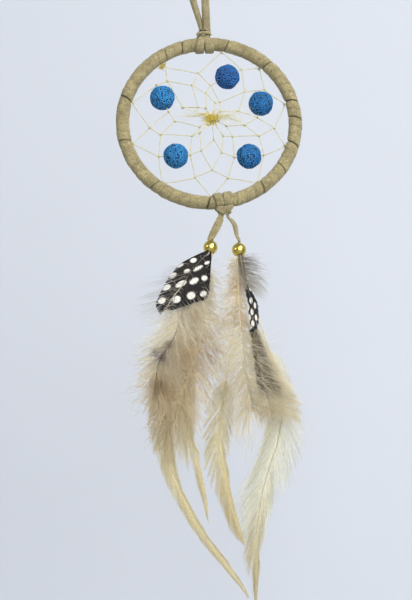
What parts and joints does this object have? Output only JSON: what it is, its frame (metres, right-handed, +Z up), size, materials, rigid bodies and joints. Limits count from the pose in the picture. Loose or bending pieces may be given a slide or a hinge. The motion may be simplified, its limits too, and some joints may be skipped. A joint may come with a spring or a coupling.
{
  "type": "dream catcher",
  "caption": "Hanging ornament: a suede-wrapped wire hoop with a knotted thread web, blue lava beads, and two bunches of feathers on short laces with gold beads.",
  "frame": {"origin": "the point inside the hanging loop, just under its knot, where a hook carries the part", "axes": "+Z up along the hanging direction, the hoop lies in the XZ plane, its front faces -Y and +X is to its right seen from the front"},
  "size_m": [0.06, 0.0088, 0.2384],
  "materials": {
    "wire": "drawn steel wire, hidden inside the wrap",
    "suede": "matt khaki suede with a fine nap",
    "thread": "pale golden twisted thread",
    "lava": "dyed porous lava stone, matt",
    "gold": "polished, gold coloured",
    "spotted_feather": "dark feather with white spots",
    "cream_feather": "soft cream down",
    "brown_feather": "soft brown and tan down",
    "tan_feather": "smooth golden tan hackle"
  },
  "bodies": {
    "hanger": {"hanger_knot": "suede", "hanger_strand_left": "suede", "hanger_strand_right": "suede"},
    "top_hitch": {"hanger_hitch": "suede"},
    "hoop": {"wire_ring": "wire", "ring_wrap": "suede", "web_thread": "thread", "web_start_knot": "thread", "web_centre_knot": "thread", "fringe_left": "thread", "fringe_right": "thread"},
    "lava_1": {"lava_bead_1": "lava"},
    "lava_2": {"lava_bead_2": "lava"},
    "lava_3": {"lava_bead_3": "lava"},
    "lava_4": {"lava_bead_4": "lava"},
    "lava_5": {"lava_bead_5": "lava"},
    "bottom_hitch": {"pendant_hitch": "suede"},
    "left_lace": {"left_pendant_lace": "suede"},
    "left_bunch": {"left_gold_bead": "gold", "left_lace_tip": "suede", "left_spotted_feather": "spotted_feather", "left_front_plume": "cream_feather", "left_back_plume": "brown_feather", "left_short_hackle": "tan_feather", "left_long_hackle": "tan_feather"},
    "right_lace": {"right_pendant_lace": "suede"},
    "right_bunch": {"right_gold_bead": "gold", "right_lace_tip": "suede", "right_spotted_feather": "spotted_feather", "right_cream_plume": "cream_feather", "right_brown_plume": "brown_feather", "right_middle_hackle": "tan_feather", "right_long_hackle": "cream_feather"}
  },
  "joints": [
    {"name": "hoop_twist", "type": "hinge", "parent": "hanger", "child": "top_hitch", "pos_m": [0, 0, -0.0377], "axis": [0, 0, 1], "range_deg": [-180, 180], "stiffness_Nm_per_rad": 0.0002},
    {"name": "hoop_tilt", "type": "hinge", "parent": "top_hitch", "child": "hoop", "pos_m": [0, 0, -0.04235], "axis": [0.9983, 0, 0.0578], "range_deg": [-40, 40]},
    {"name": "pendant_roll", "type": "hinge", "parent": "hoop", "child": "bottom_hitch", "pos_m": [0.006, 0, -0.09735], "axis": [0.9873, 0, 0.1588], "range_deg": [-60, 60]},
    {"name": "left_lace_spread", "type": "hinge", "parent": "bottom_hitch", "child": "left_lace", "pos_m": [0.0052, 0, -0.1023], "axis": [0, 1, 0], "range_deg": [0, 35]},
    {"name": "left_bunch_swing", "type": "hinge", "parent": "left_lace", "child": "left_bunch", "pos_m": [0.002, 0, -0.1097], "axis": [1, 0, 0], "range_deg": [-45, 45]},
    {"name": "right_lace_spread", "type": "hinge", "parent": "bottom_hitch", "child": "right_lace", "pos_m": [0.0074, 0, -0.1023], "axis": [0, -1, 0], "range_deg": [0, 35]},
    {"name": "right_bunch_swing", "type": "hinge", "parent": "right_lace", "child": "right_bunch", "pos_m": [0.0109, 0, -0.11], "axis": [1, 0, 0], "range_deg": [-45, 45]},
    {"name": "lava_bead_1_spin", "type": "hinge", "parent": "hoop", "child": "lava_1", "pos_m": [0.0075, 0.00042, -0.05376], "axis": [0.8575, 0, 0.5145], "continuous": true},
    {"name": "lava_bead_2_spin", "type": "hinge", "parent": "hoop", "child": "lava_2", "pos_m": [-0.01348, 0.00042, -0.06156], "axis": [0.3881, 0, -0.9216], "continuous": true},
    {"name": "lava_bead_3_spin", "type": "hinge", "parent": "hoop", "child": "lava_3", "pos_m": [0.01835, 0.00042, -0.063], "axis": [-0.2425, 0, -0.9701], "continuous": true},
    {"name": "lava_bead_4_spin", "type": "hinge", "parent": "hoop", "child": "lava_4", "pos_m": [-0.009, 0.00042, -0.08173], "axis": [-0.9988, 0, -0.0499], "continuous": true},
    {"name": "lava_bead_5_spin", "type": "hinge", "parent": "hoop", "child": "lava_5", "pos_m": [0.01435, 0.00042, -0.0815], "axis": [-0.9945, 0, -0.1047], "continuous": true}
  ]
}
